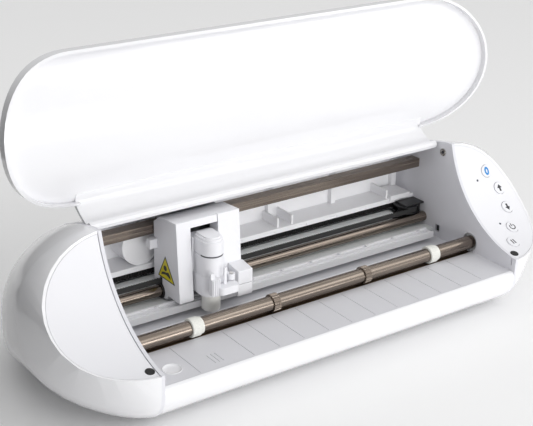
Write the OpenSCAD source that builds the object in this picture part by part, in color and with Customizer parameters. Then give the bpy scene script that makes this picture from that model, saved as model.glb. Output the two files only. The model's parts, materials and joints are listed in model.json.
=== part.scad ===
// Desktop vinyl cutter: two rounded end caps carry an open cutting bay between them.
// X runs along the bay, Y from front (-) to rear (+), Z up. The lid is drawn open.

/* [Body] */
// Overall width across the end caps
body_w = 412; // [396:1:430]
// Clear width of the bay between the side walls
bay_w = 297; // [291:1:299]
// Overall depth of the body
body_d = 176.5; // [176:0.5:178]
// Wall thickness of the moulded shells
shell_t = 2.4; // [2:0.1:2.8]
// Height of the front tray surface
tray_z = 33; // [32.8:0.1:33.2]
// Pitch of the guide lines on the front tray
guide_pitch = 20; // [15:1:25]

/* [Scoop] */
// Radius of the concave front surface shared by panels, walls and lid
scoop_r = 89.3; // [89:0.1:89.6]
// Radius of the rounded ends of the panels and the lid
end_r = 53.3; // [52:0.1:53.6]
// Distance of the centre of a rounded end from the middle
end_x = 146.3; // [144:0.1:146.5]

/* [Lid] */
// Depth of the lid from its rim to its skin
lid_rim = 4.5; // [4:0.1:5]
// Thickness of the lid skin
lid_t = 2.2; // [1.8:0.1:2.4]
// Opening angle between the closed lid and the open lid
lid_angle = 135; // [110:1:135]

/* [Rollers] */
// Radius of the long drive roller
drive_r = 5.2; // [4.8:0.1:5.3]
// Radius of the upper shaft that carries the white pinch rollers
pinch_shaft_r = 5; // [4.5:0.1:5.2]
// Radius of a pinch roller
pinch_r = 6.5; // [6.2:0.1:6.5]
// Number of teeth on the gear of the drive roller
gear_teeth = 24; // [20:1:26]
// Number of teeth on the feed motor's pinion
pinion_teeth = 10; // [10:1:12]

/* [Carriage] */
// Left face of the carriage where it is parked
carriage_x = -92; // [-140:1:60]
// Width of the carriage
carriage_w = 50; // [48:1:52]
// Radius of the round guide shaft
guide_r = 4; // [3.5:0.1:4.2]
// Radius of the belt pulleys under the belt
pulley_r = 6.8; // [6.4:0.1:6.9]

/* [Buttons] */
// Radius of a push button
button_r = 4.8; // [4:0.1:5]
// Height that a button stands out of the panel
button_h = 0.7; // [0.4:0.1:1]

/* [Hidden] */

// Clearances
fit = 0.05;
gap = 0.3;
// Half sizes that the rest is drawn from
half_w = body_w / 2;
bay_x = bay_w / 2;
wall_t = 2.5;
cap_x = bay_x + wall_t;
cap_w = half_w - cap_x;
half_d = body_d / 2;
floor_z = 2;
round_fn = 96;

// Axis of the scoop, and the angles below horizontal where it starts, ends and is halved
scoop_y = -100;
scoop_z = 131;
scoop_mid = 48.3;
panel_t = 2.2;
panel_lip = 1.2;

// Hinge of the lid
hinge_y = 3.6;
hinge_z = 104.8;
hinge_pin_r = 1.6;
neck_x = bay_x - 0.9;
lid_skin_r = scoop_r - 0.5 - lid_rim;

// Rollers
drive_y = -39.5;
drive_z = 27.6;
pinch_y = -41.1;
pinch_z = 39.6;
pinch_hole_r = 7.15;
journal_r = 3;
gear_m = 1;
gear_x = cap_x + 8;
gear_w = 6;
pinion_y = drive_y + gear_m * (gear_teeth + pinion_teeth) / 2 + 0.15;
motor_shaft_r = 1.5;

// Guides of the carriage and the belt
guide_y = 10.6;
guide_z = 42.9;
bush_r = 5.6;
rail_y = 19.5;
rail_z = 81.2;
rail_d = 9;
rail_h = 6.8;
belt_y = 18.6;
belt_z = 48.8;
belt_w = 3.6;
belt_in = 7.8;
belt_out = 9.2;
idler_x = 136;
drive_pulley_x = -168;

// Places inside the carriage
recess_l = carriage_x + 11;
recess_r = carriage_x + carriage_w - 17.4;
tool_x = carriage_x + 21.5;
tool_y = -19;
tool_r = 8;
collar_r = tool_r + 0.7;
blade_r = 0.95;
nozzle_r = 6.4;
lever_y = -26.4;
lever_pin_x = tool_x + 11;
solenoid_x = carriage_x + 39.3;
solenoid_w = 11.8;
solenoid_front = -25;

// Buttons as [distance from the middle, angle below horizontal on the scoop]
button_at = [[178, 30.9], [184.6, 40.7], [182.8, 51.1], [174.5, 62.2], [163.8, 70.6]];
lens_at = [[166.6, 34.3], [166.6, 58.5]];

white = [0.95, 0.95, 0.96];
wall_grey = [0.74, 0.74, 0.77];
tray_grey = [0.83, 0.83, 0.85];
steel = [0.55, 0.5, 0.45];
black = [0.08, 0.08, 0.09];

// Outline of the body in the YZ plane, from the tray lip under the body and up the rear
front_outline = [[-84.7, tray_z], [-86.8, 32.3], [-88, 30.6], [-half_d, 28], [-87.2, 21.5],
    [-83.8, 15], [-78, 9.4], [-71, 5], [-62, floor_z]];
low_rear_outline = [[60, floor_z], [71, 3.2], [80, 8.5], [85.8, 17], [88, 26], [half_d, 29.5]];
top_rear_outline = [[half_d, 37], [86.8, 46], [80, 59], [66, 74.5], [48, 88.5], [30, 98.5],
    [16, 103.8], [13, 104.4]];
body_outline = concat([[-half_d, 38]], [for (i = [3:8]) front_outline[i]],
    low_rear_outline, top_rear_outline, [[8.6, 105.4], [0, 107.6], [-8, 109.2]]);

// Polyline moved sideways by t, to the left of its direction
function normal_at(p, i) =
    let (a = p[max(i - 1, 0)], b = p[min(i + 1, len(p) - 1)], d = b - a)
    [-d[1], d[0]] / norm(d);
function moved(p, t) = [for (i = [0:len(p) - 1]) p[i] + t * normal_at(p, i)];
function reversed(p) = [for (i = [len(p) - 1:-1:0]) p[i]];
function band(p, t) = concat(p, reversed(moved(p, t)));

// Cross-section of an end cap at x: the two edges of the scoop, and the body's outline
// drawn in towards the middle of the cap's outer end
cap_mid = [-10, 45];
crease_r = end_r + 0.2;
function scoop_point(a, r) = [scoop_y + r * cos(a), scoop_z - r * sin(a)];
function crease(x) =
    let (half = sqrt(pow(crease_r, 2) - pow(x - end_x, 2)) / scoop_r * 180 / PI)
    [for (a = [scoop_mid - half, scoop_mid + half]) scoop_point(a, scoop_r - 1)];
function drawn_in(p, s) = [
    cap_mid[0] + (p[0] - cap_mid[0]) * pow(s, 0.49),
    cap_mid[1] + (p[1] - cap_mid[1]) * pow(s, p[1] > cap_mid[1] ? 0.24 : 0.38)];
function cap_slice(x) = concat(x < end_x + crease_r ? crease(x) : [],
    [for (p = body_outline) drawn_in(p, 1 - pow((x - cap_x) / cap_w, 1.3))]);

// Outline with round ends, laid on the scoop, as [along X, across]
function on_skin(s, rho) = rho * sin(s / rho * 180 / PI);
function end_arc(r, rho, first) =
    [for (t = [first:6:first + 180])
        [(first < 0 ? end_x : -end_x) + r * cos(t), on_skin(r * sin(t), rho)]];
function lid_outline(r, rho) = concat(end_arc(r, rho, -90), end_arc(r, rho, 90));

// Children drawn in (y, z) are extruded along X
module extrude_x(x0, x1)
    translate([x0, 0, 0]) rotate([90, 0, 90]) linear_extrude(x1 - x0) children();

// Cylinder along X
module rod_x(x0, x1, y, z, r)
    translate([x0, y, z]) rotate([0, 90, 0]) cylinder(r = r, h = x1 - x0, $fn = round_fn);

// Cylinder along Z
module rod_z(x, y, z0, z1, r)
    translate([x, y, z0]) cylinder(r = r, h = z1 - z0, $fn = round_fn);

// Block given by its two corners
module block(a, b)
    translate(a) cube(b - a);

// Everything nearer to the scoop's axis than r
module scoop(r)
    rod_x(-half_w - 5, half_w + 5, scoop_y, scoop_z, r);

// Prism through the scoop with the rounded lid outline, between two radii
module lid_prism(r, rho, near, far)
    translate([0, scoop_y, scoop_z]) rotate([90 - scoop_mid, 0, 0])
        translate([0, 0, -far]) linear_extrude(far - near) polygon(lid_outline(r, rho));

// Children drawn at the origin stand on the scoop, their +Z pointing out of the panel
module on_scoop(at, rho)
    translate([at[0], scoop_y + rho * cos(at[1]), scoop_z - rho * sin(at[1])])
        rotate([90 - at[1], 0, 0]) children();

// Spur gear in the YZ plane with trapezoid teeth
module gear_x(teeth, x0, x1, y, z, turn, bore) {
    pitch = gear_m * teeth / 2;
    step = 360 / teeth;
    translate([x0, y, z]) rotate([90, 0, 90]) rotate(turn) difference() {
        linear_extrude(x1 - x0) polygon([for (i = [0:teeth - 1], k = [0:3])
            let (r = k == 1 || k == 2 ? pitch + 0.8 * gear_m : pitch - 1.1 * gear_m,
                a = i * step + [-0.31, -0.12, 0.12, 0.31][k] * step)
            r * [cos(a), sin(a)]]);
        translate([0, 0, -1]) cylinder(r = bore, h = x1 - x0 + 2, $fn = round_fn);
    }
}

module cap_solid(inset) {
    tip = end_x + crease_r - cap_x - 0.2;
    hull() for (d = concat([for (i = [0:9]) cap_w * sin(i * 9.7)], [tip]))
        translate([cap_x + d * (1 - inset / cap_w), 0, 0]) extrude_x(0, 0.02)
            offset(delta = -inset) polygon(cap_slice(cap_x + d));
}

// End cap on the +X side: a thin shell, open towards the bay and under the panel
module cap_shell() {
    ledge_r = scoop_r + panel_t + 0.2;
    difference() {
        cap_solid(0);
        scoop(scoop_r);
        difference() {
            translate([-0.01, 0, 0]) cap_solid(shell_t);
            scoop(ledge_r);
        }
        intersection() {
            lid_prism(end_r - panel_lip, scoop_r, scoop_r - 20, scoop_r + 8);
            scoop(ledge_r);
        }
    }
}

foot_at = [[-134, -48], [134, -48], [-134, 50], [134, 50]];
module bottom_shell() {
    color(white) {
        difference() {
            extrude_x(-bay_x, bay_x)
                polygon(band(concat(front_outline, low_rear_outline), shell_t));
            // Holes of the feet
            for (at = foot_at) rod_z(at[0], at[1], 0, 8, 3);
        }
        // Ribs that carry the platen
        for (x = [-110:55:110])
            block([x - 1.2, -30, floor_z + shell_t - 0.2], [x + 1.2, 68, 28.6]);
    }
}

module front_tray() {
    groove = 0.5;
    color(tray_grey) difference() {
        extrude_x(-bay_x, bay_x) polygon([[-84.5, tray_z], [-83.7, tray_z - 2.4],
            [drive_y - 5, tray_z - 2.4], [drive_y - 5, tray_z]]);
        // Guide lines across the tray
        for (x = [-120:guide_pitch:120])
            if (x != -100)
                block([x - groove / 2, -83, tray_z - 0.4], [x + groove / 2, drive_y - 6, tray_z + 1]);
        // Round alignment dish at the left
        rod_z(-132.3, -69.6, tray_z - 0.8, tray_z + 1, 6.6);
        // Short tick lines beside the dish
        for (i = [0:2])
            block([-106 + i * 3, -78, tray_z - 0.4], [-105.5 + i * 3, -67, tray_z + 1]);
    }
}

module rear_shell() {
    color(white) extrude_x(-bay_x, bay_x) {
        polygon(band(top_rear_outline, shell_t));
        // Ledge under the neck of the lid
        polygon([[9, 98.9], [13.4, 98.9], [13.6, 103], [11.9, 103], [11.9, 100.6], [9, 100.6]]);
    }
}

module left_cap_shell() {
    color(white) mirror([1, 0, 0]) cap_shell();
}

module right_cap_shell() {
    color(white) difference() {
        cap_shell();
        // Window for the port plate
        block([port_x - 11.2, 60, 15.8], [port_x + 11.2, 100, 32.2]);
    }
}

// Panel on the +X side
module panel() {
    difference() {
        intersection() {
            lid_prism(end_r - panel_lip - 0.2, scoop_r, scoop_r - 20, scoop_r + 8);
            block([cap_x + 0.3, -100, 30], [half_w, 0, 120]);
            scoop(scoop_r + panel_t);
        }
        scoop(scoop_r);
    }
}

module left_panel() {
    color(white) mirror([1, 0, 0]) difference() {
        panel();
        bumper_seat();
    }
}

module right_panel() {
    color(white) difference() {
        panel();
        bumper_seat();
        for (at = button_at)
            on_scoop(at, scoop_r + 8) cylinder(r = button_r + gap, h = 16, $fn = round_fn);
        for (at = lens_at)
            on_scoop(at, scoop_r + 8) cylinder(r = 0.9, h = 16, $fn = 32);
    }
}

bumper_at = [154.6, 77.6];
module bumper_seat()
    on_scoop(bumper_at, scoop_r + 8) cylinder(r = 3.1, h = 16, $fn = round_fn);

module lid_bumpers() {
    color(black) for (side = [0, 1]) mirror([side, 0, 0])
        on_scoop(bumper_at, scoop_r + 2) cylinder(r = 3.1, h = 2.3, $fn = round_fn);
}

// Side wall of the bay on the +X side
module side_wall(belt_slot) {
    difference() {
        extrude_x(bay_x, cap_x) polygon(cap_slice(cap_x));
        scoop(scoop_r - 0.5);
        // Wide hole of the pinch shaft and bore of the drive roller
        rod_x(0, half_w, pinch_y, pinch_z, pinch_hole_r);
        rod_x(0, half_w, drive_y, drive_z, journal_r + fit);
        // Hinge pin bore
        rod_x(0, half_w, hinge_y, hinge_z, hinge_pin_r + fit);
        // Rear end of the media guide, and a narrow slit near the front
        block([0, -8, 35], [half_w, -3, 41]);
        block([0, -84.6, 37.2], [half_w, -83.8, 42.2]);
        if (belt_slot)
            block([0, belt_y - 11, belt_z - 1.6], [half_w, belt_y + 11, belt_z + 5.4]);
    }
}

module left_side_wall() {
    color(wall_grey) mirror([1, 0, 0]) side_wall(true);
}

module right_side_wall() {
    color(wall_grey) side_wall(false);
}

module wall_screws() {
    color(steel) for (side = [0, 1]) mirror([side, 0, 0]) difference() {
        rod_x(bay_x - 1, bay_x, -5.8, 100.9, 3);
        rod_x(bay_x - 2, bay_x - 0.4, -5.8, 100.9, 1.3);
    }
}

shelf_y = 24.4;
shelf_z = 57.6;
back_y = 45;
wall_top = 85.6;
module back_panel() {
    drum_x = -97;
    drum_z = 72;
    color(white) difference() {
        union() {
            block([-bay_x, back_y, 36.9], [bay_x, back_y + 2, wall_top]);
            block([-bay_x, shelf_y, shelf_z - 2], [bay_x, back_y, shelf_z]);
            block([-bay_x, shelf_y, shelf_z - 3.9], [bay_x, shelf_y + 2, shelf_z]);
            // Pilasters on the wall
            for (x = [-40, 19, 79, 140])
                block([x, back_y - 4, shelf_z], [x + 4, back_y, wall_top]);
            // Cable clips and a raised pad on the shelf
            for (x = [17, 30, 122])
                block([x, shelf_y + 2, shelf_z], [x + 1.6, back_y, shelf_z + 7]);
            block([124, shelf_y - 1.4, shelf_z - 1.6], [143.6, back_y - 2, shelf_z + 2.4]);
            // Round housing at the left end
            intersection() {
                translate([drum_x, shelf_y + 2, drum_z]) rotate([-90, 0, 0])
                    cylinder(r = 15, h = back_y - shelf_y - 2, $fn = round_fn);
                block([-bay_x, shelf_y, shelf_z - 1], [0, back_y, rail_z - 0.8]);
            }
        }
        translate([drum_x, shelf_y + 1, drum_z]) rotate([-90, 0, 0])
            cylinder(r = 13.8, h = 1.6, $fn = round_fn);
        // Slots along the lip
        for (x = [-113:29:119])
            block([x, shelf_y - 1, shelf_z - 3.4], [x + 11, shelf_y + 0.8, shelf_z - 1.8]);
    }
}

platen_z = 30.9;
strip_d = 1.2;
module platen() {
    color([0.8, 0.8, 0.86]) difference() {
        block([-bay_x, -33, 28.6], [bay_x, 84, platen_z]);
        // Groove of the cutting strip
        block([-124, -23, platen_z - strip_d], [124, -16, platen_z + 1]);
    }
}

module cutting_strip() {
    color([0.9, 0.9, 0.92])
        block([-124, -23, platen_z - strip_d], [124, -16, platen_z + 0.1]);
}

module media_guide_rail() {
    rail_l = 139;
    color(white) {
        difference() {
            block([-bay_x, -12, 35.2], [rail_l, -2, 39]);
            block([-bay_x - 1, -9.6, 37.6], [rail_l - 3, -5.6, 40]);
        }
        // Ridges along both edges
        block([-bay_x, -12, 39], [rail_l, -10.8, 40]);
        block([-bay_x, -3.4, 39], [rail_l, -2, 40]);
        // Stop studs
        for (x = [-130:26:130])
            rod_z(x, -4.5, 38, 40.4, 1.1);
    }
}

module guide_deck() {
    color([0.72, 0.74, 0.76]) {
        block([-bay_x, -2, 35.2], [bay_x, back_y + 2, 36.9]);
        // Ridge between the two runs of the belt
        block([-bay_x, 19.2, 36.8], [idler_x - 12, belt_y + belt_in - 0.8, belt_z - 0.8]);
    }
}

module guide_shaft() {
    color(steel) rod_x(-bay_x, bay_x, guide_y, guide_z, guide_r);
}

module upper_rail() {
    color(steel) block([-bay_x, rail_y, rail_z], [bay_x, rail_y + rail_d, rail_z + rail_h]);
}

module rubber_feet() {
    color(black) for (at = foot_at) {
        rod_z(at[0], at[1], 0, floor_z, 8);
        rod_z(at[0], at[1], 0, 5.4, 3);
    }
}

module lid_shell() {
    rim_r = scoop_r - 0.5;
    // Neck from the lid's top edge to the hinge, in (y, z), with the lid closed
    neck = [[-19.6, 113.7], [-15, 113.3], [-8, 112.2], [0, 109.9], [5, 107.4], [6.4, 104.8],
        [5.4, 102.7], [3.6, 102], [1.4, 103], [0.4, 107.4], [-8, 110], [-13, 110.5],
        [-15.6, 110.1], [-17.3, 108.9], [-18.5, 107.2], [-19.6, 104.8], [-21, 104.8]];
    color(white) translate([0, hinge_y, hinge_z]) rotate([-lid_angle, 0, 0])
        translate([0, -hinge_y, -hinge_z]) {
            difference() {
                intersection() {
                    lid_prism(end_r, lid_skin_r, lid_skin_r - 20, rim_r + 10);
                    scoop(rim_r);
                }
                // Hollow behind the rim
                intersection() {
                    lid_prism(end_r - lid_t, lid_skin_r, lid_skin_r - 40, rim_r + 12);
                    difference() {
                        scoop(rim_r + 10);
                        scoop(lid_skin_r);
                    }
                }
                scoop(lid_skin_r - lid_t);
                // The rim is left out across the neck
                difference() {
                    block([-neck_x + lid_t, -24, 100], [neck_x - lid_t, -5, 111.6]);
                    scoop(lid_skin_r);
                }
            }
            difference() {
                extrude_x(-neck_x, neck_x) polygon(neck);
                rod_x(-half_w, half_w, hinge_y, hinge_z, hinge_pin_r);
            }
        }
}

module lid_hinge_pins() {
    color(steel) for (side = [0, 1]) mirror([side, 0, 0])
        rod_x(neck_x - 12, cap_x - 0.2, hinge_y, hinge_z, hinge_pin_r);
}

module drive_roller() {
    color([0.36, 0.28, 0.2]) {
        rod_x(-bay_x + 1, bay_x - 1, drive_y, drive_z, drive_r);
        rod_x(-bay_x - 4, gear_x + gear_w, drive_y, drive_z, journal_r);
    }
}

module roller_gear() {
    color(white) gear_x(gear_teeth, gear_x, gear_x + gear_w, drive_y, drive_z, 0, journal_r);
}

module motor_pinion() {
    color(steel) {
        gear_x(pinion_teeth, gear_x, gear_x + gear_w, pinion_y, drive_z,
            180 - 180 / pinion_teeth, motor_shaft_r);
        rod_x(gear_x, gear_x + gear_w + 8, pinion_y, drive_z, motor_shaft_r);
    }
}

module feed_motor() {
    face_x = gear_x + gear_w + 1;
    color(steel) difference() {
        rod_x(face_x, face_x + 12, pinion_y, drive_z, 14);
        rod_x(face_x - 1, face_x + 8, pinion_y, drive_z, motor_shaft_r + fit);
    }
}

module pinch_shaft() {
    color(steel) {
        rod_x(-bay_x - 1.5, bay_x + 1.5, pinch_y, pinch_z, pinch_shaft_r);
        rod_x(-cap_x - 6.5, cap_x + 6.5, pinch_y, pinch_z, journal_r);
    }
}

// Sleeve around the pinch shaft
module shaft_sleeve(x, w, r)
    difference() {
        rod_x(x - w / 2, x + w / 2, pinch_y, pinch_z, r);
        rod_x(x - w, x + w, pinch_y, pinch_z, pinch_shaft_r);
    }

module pinch_rollers() {
    color([0.93, 0.93, 0.9]) for (x = [-97.7, 108.9]) shaft_sleeve(x, 9, pinch_r);
}

module collar_rings() {
    color([0.5, 0.46, 0.4]) for (x = [-34.9, 44.6]) shaft_sleeve(x, 6, pinch_r - 0.2);
}

module pinch_bearings() {
    color(tray_grey) for (side = [0, 1]) mirror([side, 0, 0]) difference() {
        block([cap_x, pinch_y - 9, pinch_z - 8], [cap_x + 6, pinch_y + 9, pinch_z + 8]);
        rod_x(cap_x - 1, cap_x + 7, pinch_y, pinch_z, journal_r + fit);
    }
}

module carriage_motor() {
    color(steel) difference() {
        rod_z(drive_pulley_x, belt_y, 17, 43, 14);
        rod_z(drive_pulley_x, belt_y, 32, 44, motor_shaft_r + fit);
    }
}

// Flanged pulley, low enough inside the belt to turn freely
module pulley(x, z0, bore) {
    difference() {
        union() {
            rod_z(x, belt_y, z0, belt_z + belt_w + 1, pulley_r);
            rod_z(x, belt_y, belt_z - 1, belt_z - 0.3, belt_out + 0.6);
            rod_z(x, belt_y, belt_z + belt_w + 0.3, belt_z + belt_w + 1, belt_out + 0.6);
        }
        rod_z(x, belt_y, z0 - 1, belt_z + belt_w + 2, bore);
    }
}

module motor_pulley() {
    color(steel) {
        pulley(drive_pulley_x, belt_z - 1.8, motor_shaft_r);
        rod_z(drive_pulley_x, belt_y, 35, belt_z + belt_w + 1, motor_shaft_r);
    }
}

module idler_pulley() {
    color(black) pulley(idler_x, belt_z - 1, 2 + fit);
}

module idler_bracket() {
    arm_x = idler_x + 10.4;
    front = guide_y + guide_r + 0.5;
    top_z = belt_z + belt_w + 1.2;
    color(black) {
        rod_z(idler_x, belt_y, 38, top_z + 1.2, 2);
        block([idler_x - 6, front, 36.9], [bay_x, front + 12, 41]);
        block([idler_x - 6, front - 4, top_z], [bay_x, front + 8.6, top_z + 1.2]);
        block([arm_x, front, 36.9], [bay_x, front + 8.6, top_z + 1.2]);
    }
}

// Belt around both pulleys, as an outline moved out from the pulley centres
module belt_outline(r) {
    translate([0, belt_y]) {
        translate([drive_pulley_x, -r]) square([idler_x - drive_pulley_x, 2 * r]);
        for (x = [drive_pulley_x, idler_x]) translate([x, 0]) circle(r = r, $fn = round_fn);
    }
}

module drive_belt() {
    color(black) translate([0, 0, belt_z]) linear_extrude(belt_w) difference() {
        belt_outline(belt_out);
        belt_outline(belt_in);
    }
}

port_x = 163.5;
module port_plate() {
    color(black) difference() {
        block([port_x - 11, 62, 16], [port_x + 11, 64, 32]);
        translate([port_x - 6, 60, 24]) rotate([-90, 0, 0])
            cylinder(r = 4.2, h = 6, $fn = round_fn);
        block([port_x - 1.3, 60, 19], [port_x + 10.7, 66, 31]);
    }
}

module power_jack() {
    color(black) translate([port_x - 6, 50, 24]) rotate([-90, 0, 0]) difference() {
        cylinder(r = 4.1, h = 13.5, $fn = round_fn);
        translate([0, 0, 4]) cylinder(r = 2.8, h = 12, $fn = round_fn);
    }
}

module usb_port() {
    color(steel) difference() {
        block([port_x - 1.2, 48, 19.2], [port_x + 10.6, 63.5, 30.8]);
        block([port_x - 0.2, 52, 20.2], [port_x + 9.6, 66, 29.8]);
    }
}

module circuit_board() {
    color([0.1, 0.35, 0.2]) {
        block([cap_x + 1.5, 8, 13], [cap_x + 22, 46, 14.6]);
        // Driver chips and capacitors
        for (y = [16, 32]) block([cap_x + 4, y, 14.6], [cap_x + 12, y + 8, 16.6]);
        for (y = [14, 26]) rod_z(cap_x + 17, y, 14.6, 24, 4);
    }
}

// Side outline of the carriage in (y, z), and its front face at the height z
function cover_front(z) = -14.3 + (z - 42.3) * 4.8 / 56.2;
carriage_side = [[-14.3, 42.3], [-9.5, 98.5], [10.5, 96.9], [18.6, 91], [18.6, 38.5],
    [3.5, 38.5], [0.8, 42.3]];

module carriage_cover() {
    left = carriage_x;
    right = carriage_x + carriage_w;
    color(white) difference() {
        extrude_x(left, right) polygon(carriage_side);
        // Room for the frame
        block([left + 2.4, 0, 36], [right - 2.4, 22, 94.6]);
        // Recess of the tool, open at the front and below
        block([recess_l, -20, 36], [recess_r, 1, 93.4]);
        // Hollow columns
        block([left + 2.4, -7, 36], [recess_l - 2, 1, 92]);
        block([recess_r + 2, -7, 36], [right - 2.4, 1, 92]);
        // Seam slot above the tool
        block([recess_r - 0.6, -20, 93.3], [recess_r, -7, 99]);
        // Guide shaft and the front run of the belt pass through both sides
        rod_x(left - 1, right + 1, guide_y, guide_z, bush_r + 0.2);
        block([left - 1, belt_y - belt_out - 1.2, belt_z - 1],
            [right + 1, belt_y - belt_in + 1.2, belt_z + belt_w + 1]);
    }
}

module carriage_frame() {
    left = carriage_x + 2.4;
    right = carriage_x + carriage_w - 2.4;
    color(wall_grey) difference() {
        union() {
            block([left, 1, 38.5], [right, 18.6, 94.6]);
            // Arm over and behind the upper rail
            block([left + 6, 10, rail_z + rail_h + 0.4], [right - 6, 31, rail_z + rail_h + 2.6]);
            block([left + 6, rail_y + rail_d + 0.6, rail_z], [right - 6, 31,
                rail_z + rail_h + 2.6]);
        }
        rod_x(left - 1, right + 1, guide_y, guide_z, bush_r);
        // Middle of the shaft tunnel is open below
        block([left + 9, 3, 38], [right - 9, 16.5, 50]);
        block([left - 1, belt_y - belt_out - 1.2, belt_z - 1],
            [right + 1, belt_y - belt_in + 1.2, belt_z + belt_w + 1]);
        // Weight saved above the belt, and the belt clamp's seat
        block([left + 3, -1, 58], [right - 3, 15.6, 88]);
        block([clamp_x, belt_y - belt_out - 1.2, belt_z + belt_w + 0.2], [clamp_x + 14, 20, 58.1]);
    }
}

module carriage_bushes() {
    color(black) for (x = [carriage_x - 0.6, carriage_x + carriage_w - 8])
        difference() {
            rod_x(x, x + 8.6, guide_y, guide_z, bush_r);
            rod_x(x - 1, x + 10, guide_y, guide_z, guide_r + fit);
        }
}

module rail_shoe() {
    color(white) block([carriage_x - 6, 13.6, 73], [carriage_x, 18.4, 79.8]);
}

clamp_x = carriage_x + 12;
module belt_clamp() {
    clamp_y = belt_y - belt_out - 1.2;
    low = belt_z + belt_w + gap;
    color(black) difference() {
        block([clamp_x, clamp_y, low], [clamp_x + 14, clamp_y + 4.8, 58]);
        // Screw hole
        rod_z(clamp_x + 7, clamp_y + 2.4, low - 1, 60, 1.2);
    }
}

module solenoid_cover() {
    color(white) extrude_x(solenoid_x, solenoid_x + solenoid_w)
        polygon([[cover_front(50.5), 50.5], [solenoid_front, 50.5], [solenoid_front, 60.3],
            [cover_front(62.3), 62.3]]);
}

module lift_block() {
    color(white) extrude_x(solenoid_x, solenoid_x + solenoid_w)
        polygon([[solenoid_front, 41.9], [solenoid_front, 50.2], [cover_front(50.2), 50.2],
            [cover_front(42.3), 42.3], [cover_front(42.3), 41.9]]);
}

module hazard_sticker() {
    color([0.8, 0.75, 0.1]) extrude_x(carriage_x - 0.25, carriage_x)
        polygon([[4, 70.5], [13.2, 53.5], [-8, 53.5]]);
}

module tool_slide() {
    color(white) {
        block([tool_x - 9, -9.6, 50], [tool_x + collar_r + 1.2, -1, 86]);
        // Lug that carries the lever pin
        difference() {
            union() {
                block([tool_x + collar_r, lever_y, 57.8], [lever_pin_x, -14.6, 62]);
                block([tool_x + collar_r, -14.7, 57.8], [tool_x + collar_r + 1.2, -9.5, 62]);
                rod_z(lever_pin_x, lever_y, 57.8, 62, 2.6);
            }
            rod_z(lever_pin_x, lever_y, 50, 64, 1.5);
        }
    }
}

// Outline of the tool: round at the front, flat sides towards the slide
module tool_outline(r)
    translate([tool_x, tool_y]) {
        circle(r = r, $fn = round_fn);
        translate([-r, 0]) square([2 * r, -9.6 - tool_y]);
    }

module tool_housing() {
    color(white) difference() {
        union() {
            translate([0, 0, 62]) linear_extrude(14) tool_outline(tool_r);
            translate([0, 0, 77]) linear_extrude(9.8) tool_outline(tool_r);
            translate([0, 0, 86.8]) linear_extrude(1.9) tool_outline(tool_r - 0.8);
            translate([0, 0, 88.7]) linear_extrude(1.3) tool_outline(tool_r - 1.9);
            translate([0, 0, 75]) linear_extrude(3) tool_outline(tool_r - 0.9);
            // Holder collar
            translate([0, 0, 48]) linear_extrude(14) tool_outline(collar_r);
        }
        rod_z(tool_x, tool_y, 40, 58, 3.5);
        rod_z(tool_x, tool_y, 57, 62, blade_r);
    }
}

module marker_ring() {
    color([0.3, 0.3, 0.32]) difference() {
        rod_z(tool_x, tool_y, 76, 77, tool_r - 0.1);
        rod_z(tool_x, tool_y, 75, 78, tool_r - 0.85);
        block([tool_x - 10, tool_y + 1, 75], [tool_x + 10, tool_y + 10, 78]);
    }
}

module depth_cap() {
    color([0.94, 0.94, 0.92]) difference() {
        union() {
            rod_z(tool_x, tool_y, 36.6, 47.7, nozzle_r);
            rod_z(tool_x, tool_y, 35.6, 36.6, nozzle_r - 1);
            rod_z(tool_x, tool_y, 47.7, 54, 3.45);
        }
        rod_z(tool_x, tool_y, 30, 60, blade_r + fit);
    }
}

module blade() {
    color(steel) {
        rod_z(tool_x, tool_y, 36.5, 62, blade_r);
        translate([tool_x, tool_y, 34.9]) cylinder(r1 = 0.3, r2 = blade_r, h = 1.6, $fn = 32);
    }
}

module clamp_lever() {
    back = tool_y - collar_r - 0.7;
    low = 52.2;
    paddle_top = 57.5;
    grip_l = tool_x - 8;
    grip_r = tool_x - 1.6;
    color(white) difference() {
        union() {
            // Ribbed grip at the left
            block([grip_l, back - 4.2, low], [grip_r, back, 63.4]);
            for (i = [0:3]) block([grip_l + 0.5 + i * 1.5, back - 5, low],
                [grip_l + 1.4 + i * 1.5, back - 4.2, 63.4]);
            // Rounded paddle
            rod_z(tool_x + 0.2, back - 3.8, low, paddle_top, 3.6);
            rod_z(tool_x + 8.8, back - 3.7, low, paddle_top, 3.7);
            block([tool_x + 0.2, back - 7.4, low], [tool_x + 8.8, back, paddle_top]);
            block([grip_r - 0.1, back - 3, low], [tool_x + 1, back, paddle_top]);
            block([lever_pin_x - 2.6, back - 2, low], [lever_pin_x + 1, lever_y, paddle_top]);
            rod_z(lever_pin_x, lever_y, low, paddle_top, 2.6);
            // Two upright fingers
            block([grip_l, back - 2.4, 63.3], [grip_l + 3, back - 1, 67.4]);
            block([tool_x + 2.6, back - 2.4, paddle_top - 0.1], [tool_x + 4.6, back - 1, 69.4]);
        }
        rod_z(lever_pin_x, lever_y, 48, 64, 1.5 + fit);
    }
}

module lever_pin() {
    color(steel) rod_z(lever_pin_x, lever_y, 52, 62.4, 1.5);
}

module push_button(at) {
    color(white) {
        on_scoop(at, scoop_r + panel_t - 0.4)
            cylinder(r = button_r, h = panel_t - 0.4 + button_h, $fn = round_fn);
        on_scoop(at, scoop_r + panel_t + 3) cylinder(r = 2, h = 4, $fn = 32);
    }
}

module wireless_button() {
    push_button(button_at[0]);
}

module feed_up_button() {
    push_button(button_at[1]);
}

module feed_down_button() {
    push_button(button_at[2]);
}

module power_button() {
    push_button(button_at[3]);
}

module pause_button() {
    push_button(button_at[4]);
}

module status_lenses() {
    color([0.35, 0.35, 0.4]) for (at = lens_at)
        on_scoop(at, scoop_r + panel_t) cylinder(r = 0.9, h = panel_t + 0.1, $fn = 32);
}

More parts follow.
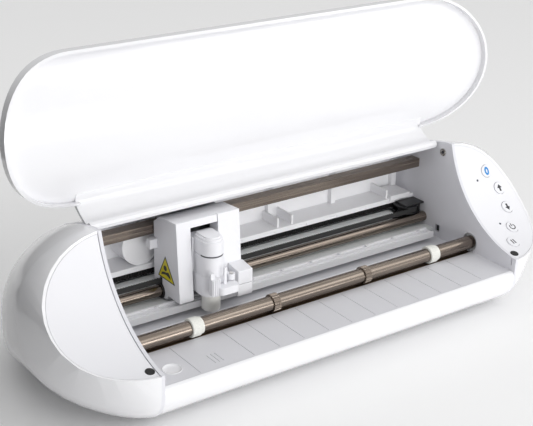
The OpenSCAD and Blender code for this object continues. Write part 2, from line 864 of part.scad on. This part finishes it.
bottom_shell();
front_tray();
rear_shell();
left_cap_shell();
right_cap_shell();
left_panel();
right_panel();
left_side_wall();
right_side_wall();
back_panel();
platen();
cutting_strip();
media_guide_rail();
guide_deck();
guide_shaft();
upper_rail();
rubber_feet();
lid_bumpers();
wall_screws();
lid_shell();
lid_hinge_pins();
drive_roller();
roller_gear();
motor_pinion();
feed_motor();
pinch_shaft();
pinch_rollers();
collar_rings();
pinch_bearings();
carriage_motor();
motor_pulley();
idler_pulley();
idler_bracket();
drive_belt();
circuit_board();
port_plate();
power_jack();
usb_port();
carriage_cover();
carriage_frame();
carriage_bushes();
rail_shoe();
belt_clamp();
solenoid_cover();
lift_block();
hazard_sticker();
tool_slide();
tool_housing();
marker_ring();
depth_cap();
blade();
clamp_lever();
lever_pin();
wireless_button();
feed_up_button();
feed_down_button();
power_button();
pause_button();
status_lenses();
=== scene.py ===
"""Looks of the desktop vinyl cutter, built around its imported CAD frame. Metres, Z up."""

import json
import math

import bmesh
import bpy
from mathutils import Matrix, Vector


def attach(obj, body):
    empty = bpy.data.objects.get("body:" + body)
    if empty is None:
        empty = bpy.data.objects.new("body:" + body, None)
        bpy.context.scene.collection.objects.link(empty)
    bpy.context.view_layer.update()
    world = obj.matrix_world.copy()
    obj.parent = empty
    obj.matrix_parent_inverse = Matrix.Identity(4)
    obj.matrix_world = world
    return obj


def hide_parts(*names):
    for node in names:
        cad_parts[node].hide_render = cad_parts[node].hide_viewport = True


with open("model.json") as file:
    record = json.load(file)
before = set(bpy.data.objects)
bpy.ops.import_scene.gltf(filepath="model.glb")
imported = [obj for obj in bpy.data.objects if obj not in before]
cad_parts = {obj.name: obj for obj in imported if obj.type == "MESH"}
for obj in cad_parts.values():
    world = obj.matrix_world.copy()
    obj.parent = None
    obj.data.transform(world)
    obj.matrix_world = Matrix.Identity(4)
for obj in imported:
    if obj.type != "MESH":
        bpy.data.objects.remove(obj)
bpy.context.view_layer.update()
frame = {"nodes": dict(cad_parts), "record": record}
nodes = frame["nodes"]
MM = 0.001

# Places and sizes of the CAD model that the pieces repeat, in millimetres
SCOOP_AXIS = (-100, 131)
PANEL_RHO = 89.3
BUTTON_R = 4.8
BUTTON_GAP = 0.3
BUTTON_TOP_RHO = PANEL_RHO - 0.7
PINCH_AXIS = (-41.1, 39.6)
PINCH_SHAFT_R = 5
TRAY_Z = 33
CARRIAGE_X = -92

# ---------------------------------------------------------------- stage

# Direction of the bright side of the sky, and its strength at both ends
SKY_BRIGHT = (0.66, -0.42, 0.62)
SKY_LOW = 0.1
SKY_HIGH = 0.88


def add_camera():
    """Stands where the photograph was taken from: left of the front, looking down."""
    azimuth, elevation, roll = (math.radians(a) for a in (-36.27, 22.75, 1.41))
    flat = Vector((math.sin(azimuth), -math.cos(azimuth), 0))
    back = flat * math.cos(elevation) + Vector((0, 0, math.sin(elevation)))
    level = Vector((math.cos(azimuth), math.sin(azimuth), 0))
    rise = back.cross(level)
    right = level * math.cos(roll) + rise * math.sin(roll)
    up = rise * math.cos(roll) - level * math.sin(roll)
    camera = bpy.data.objects.new("camera", bpy.data.cameras.new("camera"))
    axes = Matrix((right, up, back)).transposed()
    camera.matrix_world = Matrix.Translation((-0.4714, -0.6257, 0.4106)) @ axes.to_4x4()
    camera.data.sensor_width = 36
    camera.data.lens = 81.87
    camera.data.clip_end = 20
    bpy.context.collection.objects.link(camera)
    bpy.context.scene.camera = camera


def add_light(name, place, target, size, power):
    """Softbox at place, facing target."""
    light = bpy.data.lights.new(name, "AREA")
    light.shape = "RECTANGLE"
    light.size, light.size_y = size
    light.energy = power
    lamp = bpy.data.objects.new(name, light)
    lamp.location = place
    lamp.rotation_euler = (Vector(target) - Vector(place)).to_track_quat("-Z", "Y").to_euler()
    bpy.context.collection.objects.link(lamp)


def add_sky():
    """Studio surroundings: bright above and in front to the right, grey to the left."""
    world = bpy.data.worlds.new("studio")
    world.use_nodes = True
    tree = world.node_tree
    place = tree.nodes.new("ShaderNodeTexCoord")
    toward = tree.nodes.new("ShaderNodeVectorMath")
    toward.operation = "DOT_PRODUCT"
    toward.inputs[1].default_value = SKY_BRIGHT
    spread = tree.nodes.new("ShaderNodeMapRange")
    spread.inputs["From Min"].default_value = -0.75
    spread.inputs["From Max"].default_value = 0.7
    spread.inputs["To Min"].default_value = SKY_LOW
    spread.inputs["To Max"].default_value = SKY_HIGH
    background = tree.nodes["Background"]
    background.inputs["Color"].default_value = (1, 1, 1, 1)
    tree.links.new(place.outputs["Generated"], toward.inputs[0])
    tree.links.new(toward.outputs["Value"], spread.inputs["Value"])
    tree.links.new(spread.outputs["Result"], background.inputs["Strength"])
    bpy.context.scene.world = world
    bpy.context.scene.view_settings.view_transform = "Standard"


def add_card(name, corners, colour):
    """Flat card that belongs to the studio and not to the object."""
    mesh = bpy.data.meshes.new(name)
    mesh.from_pydata(corners, [], [(0, 1, 2, 3)])
    card = bpy.data.objects.new(name, mesh)
    bpy.context.collection.objects.link(card)
    mesh.materials.append(new_material(name, colour, 0.7)[0])
    return card


def add_stage():
    """Pale floor with soft light from above and the front."""
    reach = 6
    add_card("floor", [(-reach, -reach, 0), (reach, -reach, 0), (reach, reach, 0),
                       (-reach, reach, 0)], (0.96, 0.96, 0.96))
    # Dark card that darkens the left cap's outer side, unseen from every camera
    card = add_card("card", [(-0.48, -0.4, 0), (-0.3, 0.3, 0), (-0.3, 0.3, 0.32),
                             (-0.48, -0.4, 0.32)], (0.03, 0.03, 0.03))
    card.visible_camera = False

    centre = (0, 0, 0.06)
    add_light("key", (0.9, -1.0, 1.1), centre, (0.9, 0.7), 3)
    add_light("top", (-0.1, 0.4, 1.5), centre, (1.4, 0.6), 1.2)
    add_light("left", (-1.1, 0.1, 1.0), centre, (0.5, 0.3), 1)
    add_light("front", (0.1, -1.6, 0.2), centre, (1.2, 0.4), 6)
    add_light("low", (0.05, -0.75, 0.06), (0, -0.08, 0.03), (0.9, 0.08), 0.9)


# ---------------------------------------------------------------- materials


def new_material(name, colour, roughness, metallic=0.0):
    """Material with its Principled shader, for the patterns to build on."""
    material = bpy.data.materials.new(name)
    material.use_nodes = True
    shader = material.node_tree.nodes["Principled BSDF"]
    shader.inputs["Base Color"].default_value = (*colour, 1)
    shader.inputs["Roughness"].default_value = roughness
    shader.inputs["Metallic"].default_value = metallic
    return material, shader


def noise(tree, scale, detail=2.0, stretch=(1, 1, 1)):
    """Noise in the object's own metres, stretched along an axis where it is drawn or brushed."""
    place = tree.nodes.new("ShaderNodeTexCoord")
    mapping = tree.nodes.new("ShaderNodeMapping")
    mapping.inputs["Scale"].default_value = stretch
    texture = tree.nodes.new("ShaderNodeTexNoise")
    texture.inputs["Scale"].default_value = scale
    texture.inputs["Detail"].default_value = detail
    tree.links.new(place.outputs["Object"], mapping.inputs["Vector"])
    tree.links.new(mapping.outputs["Vector"], texture.inputs["Vector"])
    return texture.outputs["Fac"]


def ranged(tree, value, low, high):
    """Value between low and high, from a noise between about a third and two thirds."""
    spread = tree.nodes.new("ShaderNodeMapRange")
    spread.inputs["From Min"].default_value = 0.3
    spread.inputs["From Max"].default_value = 0.7
    spread.inputs["To Min"].default_value = low
    spread.inputs["To Max"].default_value = high
    tree.links.new(value, spread.inputs["Value"])
    return spread.outputs["Result"]


def tinted(tree, shader, value, dark, light):
    """Base colour that wanders between two tints."""
    mix = tree.nodes.new("ShaderNodeMix")
    mix.data_type = "RGBA"
    mix.inputs["A"].default_value = (*dark, 1)
    mix.inputs["B"].default_value = (*light, 1)
    tree.links.new(value, mix.inputs["Factor"])
    tree.links.new(mix.outputs["Result"], shader.inputs["Base Color"])


def bumped(tree, shader, value, strength, distance):
    bump = tree.nodes.new("ShaderNodeBump")
    bump.inputs["Strength"].default_value = strength
    bump.inputs["Distance"].default_value = distance
    tree.links.new(value, bump.inputs["Height"])
    tree.links.new(bump.outputs["Normal"], shader.inputs["Normal"])


def moulded(name, colour, roughness, grain=0.00003, coat=0.0, pitch=2500):
    """Moulded plastic: fine mould texture, slightly uneven gloss and tint."""
    material, shader = new_material(name, colour, roughness)
    tree = material.node_tree
    broad = noise(tree, 9, 3)
    fine = noise(tree, pitch, 2)
    tree.links.new(ranged(tree, broad, roughness * 0.9, roughness * 1.12),
                   shader.inputs["Roughness"])
    darker = tuple(c * 0.975 for c in colour)
    tinted(tree, shader, ranged(tree, broad, 0, 1), darker, colour)
    bumped(tree, shader, fine, 0.25, grain)
    if coat:
        shader.inputs["Coat Weight"].default_value = coat
        shader.inputs["Coat Roughness"].default_value = 0.04
    return material


def drawn_metal(name, dark, light, roughness, stretch=(0.02, 1, 1)):
    """Plated or drawn metal with fine lines along one axis."""
    material, shader = new_material(name, light, roughness, 1.0)
    tree = material.node_tree
    lines = noise(tree, 900, 3, stretch)
    tinted(tree, shader, ranged(tree, lines, 0, 1), dark, light)
    tree.links.new(ranged(tree, lines, roughness * 0.8, roughness * 1.25),
                   shader.inputs["Roughness"])
    bumped(tree, shader, lines, 0.15, 0.00002)
    return material


def rubber(name, colour):
    """Matte rubber with a coarse grain."""
    material, shader = new_material(name, colour, 0.75)
    tree = material.node_tree
    grain = noise(tree, 1800, 4)
    tinted(tree, shader, ranged(tree, grain, 0, 1), tuple(c * 0.8 for c in colour), colour)
    bumped(tree, shader, grain, 0.5, 0.00005)
    return material


MATERIALS = {
    "gloss_white": moulded("gloss_white", (0.88, 0.88, 0.9), 0.16, 0.000004, 0.5, 400),
    "panel_white": moulded("panel_white", (0.83, 0.83, 0.86), 0.42),
    "wall_grey": moulded("wall_grey", (0.74, 0.74, 0.78), 0.5),
    "inner_white": moulded("inner_white", (0.9, 0.9, 0.92), 0.38),
    "tray_grey": moulded("tray_grey", (0.7, 0.7, 0.73), 0.5),
    "deck_grey": moulded("deck_grey", (0.8, 0.82, 0.82), 0.5),
    "bronze_steel": drawn_metal("bronze_steel", (0.2, 0.165, 0.14), (0.3, 0.255, 0.215), 0.24),
    "roller_bronze": drawn_metal("roller_bronze", (0.12, 0.08, 0.05), (0.2, 0.14, 0.1), 0.4),
    "bright_steel": drawn_metal("bright_steel", (0.5, 0.49, 0.47), (0.7, 0.69, 0.67), 0.25),
    "motor_steel": drawn_metal("motor_steel", (0.4, 0.4, 0.41), (0.55, 0.55, 0.56), 0.4),
    "pinch_white": rubber("pinch_white", (0.85, 0.85, 0.8)),
    "gear_white": moulded("gear_white", (0.8, 0.78, 0.7), 0.45),
    "black_rubber": rubber("black_rubber", (0.02, 0.02, 0.02)),
    "black_plastic": moulded("black_plastic", (0.02, 0.02, 0.022), 0.4),
    "carriage_white": moulded("carriage_white", (0.85, 0.85, 0.88), 0.36),
    "carriage_grey": moulded("carriage_grey", (0.45, 0.45, 0.48), 0.5),
    "cap_ivory": moulded("cap_ivory", (0.8, 0.8, 0.77), 0.35),
    "ring_grey": moulded("ring_grey", (0.08, 0.08, 0.09), 0.5),
    "sticker_yellow": moulded("sticker_yellow", (0.7, 0.6, 0.02), 0.35),
    "board_green": moulded("board_green", (0.02, 0.14, 0.05), 0.35),
    "lens_grey": moulded("lens_grey", (0.05, 0.06, 0.08), 0.1),
    # Dark ink of the icons and the sticker; the same dark is painted shade in the screw sockets
    "print_and_shade_dark": moulded("print_and_shade_dark", (0.035, 0.035, 0.04), 0.45),
    "icon_blue": moulded("icon_blue", (0.03, 0.25, 0.62), 0.4),
    # Dark grey for the button gaps: painted shade, not a colour of the plastic
    "groove": moulded("groove", (0.16, 0.16, 0.17), 0.6),
}

# ---------------------------------------------------------------- pieces

BODY_OF = {n: body for body, members in frame["record"]["behaviour"]["bodies"].items()
           for n in members}
SLOT_OF = {part["node"]: part["material_slot"] for part in frame["record"]["subparts"]}


def enlist(name, mesh, body, material, replaced=()):
    """Links the mesh as a piece that rides on body, and stands for the replaced nodes."""
    piece = bpy.data.objects.new(name, mesh)
    bpy.context.collection.objects.link(piece)
    mesh.materials.clear()
    mesh.materials.append(MATERIALS[material])
    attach(piece, body)
    if replaced:
        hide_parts(*replaced)
    return piece


def to_mesh(name, bm, sharp=35):
    """Mesh of bm, smooth except at edges sharper than the angle."""
    bmesh.ops.recalc_face_normals(bm, faces=bm.faces)
    for face in bm.faces:
        face.smooth = True
    for edge in bm.edges:
        edge.smooth = len(edge.link_faces) == 2 and edge.calc_face_angle(0) < math.radians(sharp)
    mesh = bpy.data.meshes.new(name)
    bm.to_mesh(mesh)
    bm.free()
    if "custom_normal" in mesh.attributes:
        mesh.attributes.remove(mesh.attributes["custom_normal"])
    return mesh


def soften(piece, width, sharp=35, segments=2):
    """Rounds the piece's sharp edges by width millimetres."""
    bevel = piece.modifiers.new("edges", "BEVEL")
    bevel.width = width * MM
    bevel.segments = segments
    bevel.limit_method = "ANGLE"
    bevel.angle_limit = math.radians(sharp)
    bevel.harden_normals = True
    return piece


def refined(node, width, sharp=35, segments=2):
    """The CAD node's own shape as one welded skin with rounded edges."""
    bm = bmesh.new()
    bm.from_mesh(nodes[node].data)
    bmesh.ops.remove_doubles(bm, verts=bm.verts, dist=0.002 * MM)
    bmesh.ops.dissolve_degenerate(bm, edges=bm.edges, dist=0.002 * MM)
    bmesh.ops.dissolve_limit(bm, verts=bm.verts, edges=bm.edges, angle_limit=math.radians(0.4))
    mesh = to_mesh(node + ".look", bm, sharp)
    slot = SLOT_OF[node]
    piece = enlist(node + ".look", mesh, BODY_OF[node], slot, [node])
    return soften(piece, width, sharp, segments)


def slab(bm, matrix, loop, low, high, hole=None):
    """Adds a plate with the given outline between two heights, in the matrix's frame."""
    rings = [loop, hole] if hole else [loop]
    levels = [[[bm.verts.new(matrix @ Vector((x * MM, y * MM, z * MM))) for x, y in ring]
               for ring in rings] for z in (low, high)]
    for index in range(len(rings)):
        near, far = levels[0][index], levels[1][index]
        for i in range(len(near)):
            j = (i + 1) % len(near)
            bm.faces.new((near[i], near[j], far[j], far[i]))
    for level in levels:
        if hole:
            for i in range(len(loop)):
                j = (i + 1) % len(loop)
                bm.faces.new((level[0][i], level[0][j], level[1][j], level[1][i]))
        else:
            bm.faces.new(level[0])


def ellipse(rx, ry, count=32, start=0, end=360):
    """Points of an ellipse, or of a part of it when start and end leave a gap."""
    whole = end - start == 360
    steps = count if whole else count - 1
    angles = [math.radians(start + (end - start) * i / steps) for i in range(count)]
    return [(rx * math.cos(a), ry * math.sin(a)) for a in angles]


def arc_band(inner, outer, start, end, count=24):
    """Outline of a part of a ring."""
    return ellipse(outer, outer, count, start, end) + ellipse(inner, inner, count, start, end)[::-1]


def bar(x0, x1, y0, y1):
    return [(x0, y0), (x1, y0), (x1, y1), (x0, y1)]


def on_scoop(x, angle, rho):
    """Frame on the concave front: local Z out of the panel, local Y up along it."""
    a = math.radians(angle)
    axis_y, axis_z = SCOOP_AXIS
    place = Vector((x, axis_y + rho * math.cos(a), axis_z - rho * math.sin(a))) * MM
    out = Vector((0, -math.cos(a), math.sin(a)))
    along = Vector((1, 0, 0))
    axes = Matrix((along, out.cross(along), out)).transposed().to_4x4()
    return Matrix.Translation(place) @ axes


def lathe(bm, matrix, profile, count=64):
    """Turned shape from (radius, height) points around the matrix's Z."""
    rings = []
    for radius, height in profile:
        ring = [bm.verts.new(matrix @ Vector((x * MM, y * MM, height * MM)))
                for x, y in ellipse(radius, radius, count)]
        rings.append(ring)
    for a, b in zip(rings, rings[1:]):
        for i in range(count):
            j = (i + 1) % count
            bm.faces.new((a[i], a[j], b[j], b[i]))
    return rings


# ---------------------------------------------------------------- end caps, lid and walls

for name in ("left_cap_shell", "right_cap_shell"):
    refined(name, 0.8, 40, 3)
for name in ("left_panel", "right_panel"):
    refined(name, 0.35, 40)
refined("lid_shell", 0.5, 40, 3)
refined("bottom_shell", 0.5, 40, 3)
for name in ("rear_shell", "front_tray", "left_side_wall", "right_side_wall", "back_panel",
             "platen", "cutting_strip", "media_guide_rail", "guide_deck", "wall_screws",
             "lid_bumpers", "upper_rail", "guide_shaft", "idler_bracket"):
    refined(name, 0.25)

# ---------------------------------------------------------------- buttons

BUTTON_AT = {
    "wireless": (178, 30.9),
    "feed_up": (184.6, 40.7),
    "feed_down": (182.8, 51.1),
    "power": (174.5, 62.2),
    "pause": (163.8, 70.6),
}
ARROW = [(-0.8, -2.7), (0.8, -2.7), (0.8, 0), (2.3, 0), (0, 3), (-2.3, 0), (-0.8, 0)]
ICONS = {
    "wireless": [(ellipse(2.2, 3.3), ellipse(0.7, 1.6))],
    "feed_up": [(ARROW, None)],
    "feed_down": [([(x, -y) for x, y in reversed(ARROW)], None)],
    "power": [(arc_band(1.9, 2.7, 130, 410), None), (bar(-0.4, 0.4, 0.3, 3.2), None)],
    "pause": [(bar(-1.5, -0.6, -2.2, 2.2), None), (bar(0.6, 1.5, -2.2, 2.2), None)],
}
for key, (x, angle) in BUTTON_AT.items():
    refined(key + "_button", 0.35, 35, 3)
    bm = bmesh.new()
    top = on_scoop(x, angle, BUTTON_TOP_RHO)
    for outline, hole in ICONS[key]:
        slab(bm, top, outline, -0.1, 0.05, hole)
    ink = "icon_blue" if key == "wireless" else "print_and_shade_dark"
    enlist(key + ".icon", to_mesh(key + ".icon", bm), key + "_key", ink)
refined("status_lenses", 0.1)


def add_button_gap_shade():
    """Dark ring in the gap around every button: painted shade in the gap."""
    outer = BUTTON_R + BUTTON_GAP - 0.01
    inner = BUTTON_R + 0.01
    bm = bmesh.new()
    for x, angle in BUTTON_AT.values():
        base = on_scoop(x, angle, PANEL_RHO + 0.3)
        slab(bm, base, ellipse(outer, outer, 48), -0.6, 0, ellipse(inner, inner, 48))
    enlist("button_gap_shade", to_mesh("button_gap_shade", bm), "root", "groove")


def add_screw_socket_shade():
    """Dark disc in the head of each wall screw: painted shade at the bottom of the socket."""
    bm = bmesh.new()
    for side in (-1, 1):
        face = Matrix(((0, 0, side, side * 148 * MM), (side, 0, 0, -5.8 * MM),
                       (0, 1, 0, 100.9 * MM), (0, 0, 0, 1)))
        slab(bm, face, ellipse(1.28, 1.28), -0.5, 0)
    enlist("screw_socket_shade", to_mesh("screw_socket_shade", bm), "root", "print_and_shade_dark")


def add_dish():
    """Glossy alignment dish with a raised rim, set in the tray."""
    bm = bmesh.new()
    centre = Matrix.Translation(Vector((-132.3, -69.6, TRAY_Z)) * MM)
    rings = lathe(bm, centre, [(6.55, -0.7), (6.55, 0.1), (6.3, 0.3), (5.9, 0.25), (5.5, -0.2),
                               (4.6, -0.5), (3, -0.6)])
    bm.faces.new(rings[-1])
    enlist("tray_dish", to_mesh("tray_dish", bm), "root", "gloss_white")


# Painted shade in the button gaps and in the screw sockets
add_button_gap_shade()
add_screw_socket_shade()
add_dish()

# ---------------------------------------------------------------- rollers, shafts and belt

ALONG_X = Matrix.Rotation(math.radians(90), 4, "Y")


def sleeve(bm, x, profile):
    """Turned sleeve around the pinch shaft, its profile as (radius, distance along X)."""
    matrix = Matrix.Translation(Vector((x, *PINCH_AXIS)) * MM) @ ALONG_X
    rings = lathe(bm, matrix, profile + [(PINCH_SHAFT_R, profile[-1][1])])
    inner = lathe(bm, matrix, [(PINCH_SHAFT_R, profile[0][1])])
    count = len(rings[0])
    for i in range(count):
        j = (i + 1) % count
        bm.faces.new((inner[0][i], inner[0][j], rings[0][j], rings[0][i]))
        bm.faces.new((inner[0][i], inner[0][j], rings[-1][j], rings[-1][i]))


def add_pinch_rollers():
    """White tyre with a narrower hub to its right."""
    bm = bmesh.new()
    tyre = [(6.1, -4.5), (6.5, -4.1), (6.5, 1.9), (6.1, 2.3), (5.7, 2.4), (5.7, 4.2), (5.5, 4.5)]
    for x in (-97.7, 108.9):
        sleeve(bm, x, tyre)
    mesh = to_mesh("pinch_rollers.look", bm)
    enlist("pinch_rollers.look", mesh, "pinch", "pinch_white", ["pinch_rollers"])


def add_collars():
    """Collars with a knurled rim and chamfered ends."""
    bm = bmesh.new()
    ridges = 36
    for x in (-34.9, 44.6):
        centre = Vector((x, *PINCH_AXIS)) * MM
        rings = []
        for along, low, high in ((-3, 5.4, 5.4), (-2.8, 5.9, 6.2), (2.8, 5.9, 6.2), (3, 5.4, 5.4)):
            ring = []
            for i in range(ridges * 4):
                radius = high if i % 4 in (1, 2) else low
                a = 2 * math.pi * i / (ridges * 4)
                ring.append(bm.verts.new(centre + Vector(
                    (along, radius * math.cos(a), radius * math.sin(a))) * MM))
            rings.append(ring)
        for a, b in zip(rings, rings[1:]):
            for i in range(ridges * 4):
                j = (i + 1) % (ridges * 4)
                bm.faces.new((a[i], a[j], b[j], b[i]))
        bm.faces.new(rings[0])
        bm.faces.new(rings[-1])
    mesh = to_mesh("collar_rings.look", bm)
    enlist("collar_rings.look", mesh, "pinch", "bronze_steel", ["collar_rings"])


def add_belt():
    """Closed toothed belt round both pulleys, teeth on its inner side."""
    belt_y, left, right = 18.6, -168, 136
    outer, root, tip = 9.2, 8.6, 7.8
    pitch = 2.03
    straight = right - left
    per_run = round(straight / pitch)
    per_arc = 12
    low_z, high_z = 48.8, 52.4

    def at(fraction, side, radius):
        if side in (0, 2):
            x = left + straight * fraction if side == 0 else right - straight * fraction
            return x, belt_y - radius if side == 0 else belt_y + radius
        a = math.radians(-90 + 180 * fraction if side == 1 else 90 + 180 * fraction)
        centre = right if side == 1 else left
        return centre + radius * math.cos(a), belt_y + radius * math.sin(a)

    path = []
    for side in range(4):
        teeth = per_run if side in (0, 2) else per_arc
        for i in range(teeth):
            for share, radius in ((0, root), (0.18, tip), (0.5, tip), (0.68, root)):
                fraction = (i + share) / teeth
                path.append((at(fraction, side, outer), at(fraction, side, radius)))
    bm = bmesh.new()
    rows = []
    for z in (low_z, high_z):
        rows.append([[bm.verts.new(Vector((x, y, z)) * MM) for x, y in pair] for pair in path])
    for i in range(len(path)):
        j = (i + 1) % len(path)
        low, high = rows
        bm.faces.new((low[i][0], low[j][0], high[j][0], high[i][0]))
        bm.faces.new((low[i][1], low[j][1], high[j][1], high[i][1]))
        bm.faces.new((low[i][0], low[j][0], low[j][1], low[i][1]))
        bm.faces.new((high[i][0], high[j][0], high[j][1], high[i][1]))
    mesh = to_mesh("drive_belt.look", bm)
    enlist("drive_belt.look", mesh, "root", "black_rubber", ["drive_belt"])


add_pinch_rollers()
add_collars()
add_belt()
for name in ("pinch_shaft", "drive_roller"):
    refined(name, 0.3)

# ---------------------------------------------------------------- carriage and tool

refined("carriage_cover", 0.7, 40, 3)
for name in ("rail_shoe", "solenoid_cover", "lift_block", "clamp_lever", "tool_housing"):
    refined(name, 0.5, 40, 3)
for name in ("depth_cap", "tool_slide", "carriage_frame", "carriage_bushes", "marker_ring"):
    refined(name, 0.2)


def add_sticker():
    """Warning triangle: black border, yellow field and a plain pictogram of a roller nip."""
    face = Matrix(((0, 0, -1, CARRIAGE_X * MM), (1, 0, 0, 0), (0, 1, 0, 0), (0, 0, 0, 1)))
    corners = [Vector((4, 70.5)), Vector((13.2, 53.5)), Vector((-8, 53.5))]
    middle = sum(corners, Vector((0, 0))) / 3

    def shrunk(share):
        return [tuple(middle + (c - middle) * share) for c in corners]

    bm = bmesh.new()
    slab(bm, face, shrunk(1), 0, 0.15)
    enlist("hazard_sticker.border", to_mesh("hazard_sticker.border", bm), "carriage", "print_and_shade_dark")
    bm = bmesh.new()
    slab(bm, face, shrunk(0.87), 0.1, 0.2)
    mesh = to_mesh("hazard_sticker.field", bm)
    enlist("hazard_sticker.field", mesh, "carriage", "sticker_yellow", ["hazard_sticker"])
    bm = bmesh.new()
    disc = [(middle.x + 0.8 + x, middle.y + 2.6 + y) for x, y in ellipse(2, 2)]
    slab(bm, face, disc, 0.15, 0.24)
    shoe = [(middle.x + x, middle.y + y) for x, y in
            ((-6, -3.5), (-5.4, -1), (-3.2, 1), (-0.8, 0), (2.4, -0.4), (5.2, -1.6), (6, -3.5),
             (2.6, -2.4), (-0.6, -1.8), (-3, -2.4))]
    slab(bm, face, shoe, 0.15, 0.24)
    enlist("hazard_sticker.sign", to_mesh("hazard_sticker.sign", bm), "carriage", "print_and_shade_dark")


add_sticker()

# ---------------------------------------------------------------- finish

add_camera()
add_sky()
add_stage()

for node, part in nodes.items():
    part.data.materials.clear()
    part.data.materials.append(MATERIALS[SLOT_OF[node]])
